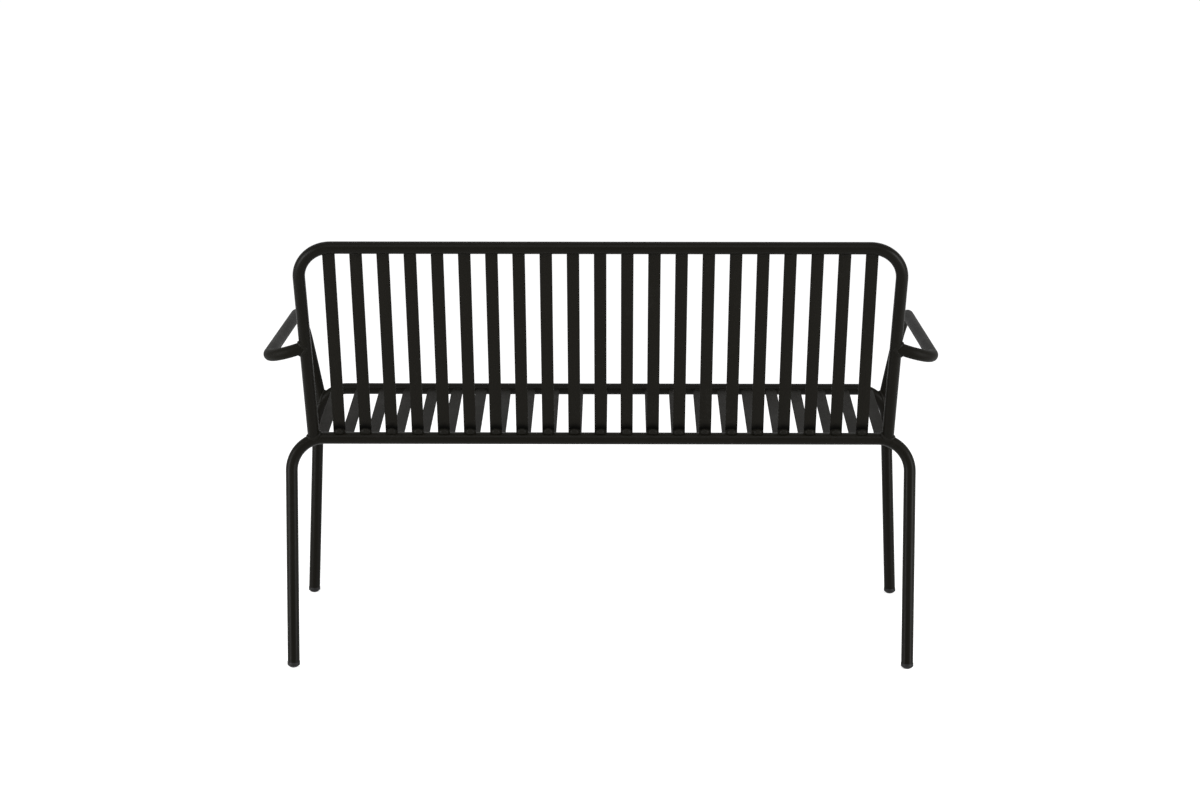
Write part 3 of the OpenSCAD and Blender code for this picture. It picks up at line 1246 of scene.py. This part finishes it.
@dataclass
class Studio:
    """Camera, plain soft light and a white floor."""

    plan: SofaPlan
    focal: float = 73.5
    sensor: float = 36.0
    far_clip: float = 300.0
    eye: tuple[float, float, float] = (-0.0345, 4.749, 1.592)
    pitch: float = 12.75
    pan: float = 0.43
    floor_half: float = 60.0
    floor_paint: float = 0.8
    floor_glow: float = 0.65
    surround: float = 0.45
    aim: tuple[float, float, float] = (0.0, 0.0, 0.45)
    boxes: tuple[SoftBox, ...] = (
        SoftBox("top_box", (0.0, 2.4, 2.9), (3.2, 1.6), 45.0),
        SoftBox("left_box", (2.9, 1.65, 1.0), (1.0, 1.8), 88.0),
        SoftBox("right_box", (-2.9, 1.65, 1.0), (1.0, 1.8), 88.0))

    def camera(self) -> None:
        """Sets the camera where the photograph was taken from."""
        data = bpy.data.cameras.new("camera")
        data.lens = self.focal
        data.sensor_width = self.sensor
        data.clip_end = self.far_clip
        cam = placed("camera", data)
        cam.location = self.plan.at(*self.eye)
        pitch, pan = math.radians(self.pitch), math.radians(self.pan)
        ahead = Vector((math.sin(pan) * math.cos(pitch), -math.cos(pan) * math.cos(pitch),
                        -math.sin(pitch)))
        cam.rotation_euler = ahead.to_track_quat("-Z", "Y").to_euler()
        bpy.context.scene.camera = cam

    def seen(self, w: Wiring) -> NodeSocket:
        """Mask of the rays that meet the surround by sight, gloss or glass."""
        path = w.node("ShaderNodeLightPath").outputs
        return w.calc("MAXIMUM", path["Is Camera Ray"],
                      w.calc("MAXIMUM", path["Is Glossy Ray"], path["Is Transmission Ray"]))

    def floor(self) -> None:
        """Lays a floor that is white to the eye and keeps the sofa's shadow."""
        bm = bmesh.new()
        bmesh.ops.create_grid(bm, x_segments=1, y_segments=1, size=self.floor_half)
        floor = mesh_object("floor", bm)
        mat = bpy.data.materials.new("floor_white")
        mat.use_nodes = True
        mat.node_tree.nodes.clear()
        w = Wiring(mat.node_tree)
        paint = w.node("ShaderNodeBsdfDiffuse", Color=(*[self.floor_paint] * 3, 1.0))
        glow = w.node("ShaderNodeEmission", Color=WHITE,
                      Strength=w.calc("MULTIPLY", self.seen(w), self.floor_glow))
        both = w.node("ShaderNodeAddShader", i0=paint.outputs[0], i1=glow.outputs[0])
        w.node("ShaderNodeOutputMaterial", Surface=both.outputs[0])
        floor.data.materials.append(mat)

    def world(self) -> None:
        """Gives an even white surround that lights the sofa less than it shows."""
        world = bpy.data.worlds.new("surround")
        bpy.context.scene.world = world
        world.use_nodes = True
        world.node_tree.nodes.clear()
        w = Wiring(world.node_tree)
        level = w.calc("MULTIPLY_ADD", self.seen(w), 1.0 - self.surround, self.surround)
        back = w.node("ShaderNodeBackground", Color=WHITE, Strength=level)
        w.node("ShaderNodeOutputWorld", Surface=back.outputs[0])

    def build(self) -> None:
        """Sets camera, floor, surround and lamps."""
        self.camera()
        self.floor()
        self.world()
        for box in self.boxes:
            box.hang(Vector(self.aim))
        bpy.context.scene.view_settings.view_transform = "Standard"


def main() -> None:
    """Builds the sofa's pieces in order and sets the studio."""
    logging.basicConfig(level=logging.INFO, format="%(name)s: %(message)s")
    stock = TubeStock()
    plan = SofaPlan(rail_y=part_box("rear_leg_frame")[0][1] + stock.radius)
    Studio(plan).build()
    bar = BarStock()
    slats = SlatSet(plan, bar)
    welds = WeldBeads(plan, stock, bar, slats)
    finishes = Finishes(back_toe=welds.foot_toe())
    TubeFrames(plan, stock).build(finishes)
    slats.build(finishes)
    welds.build(finishes)
    Glides(plan, stock).build(finishes)


if __name__ == "__main__":
    main()
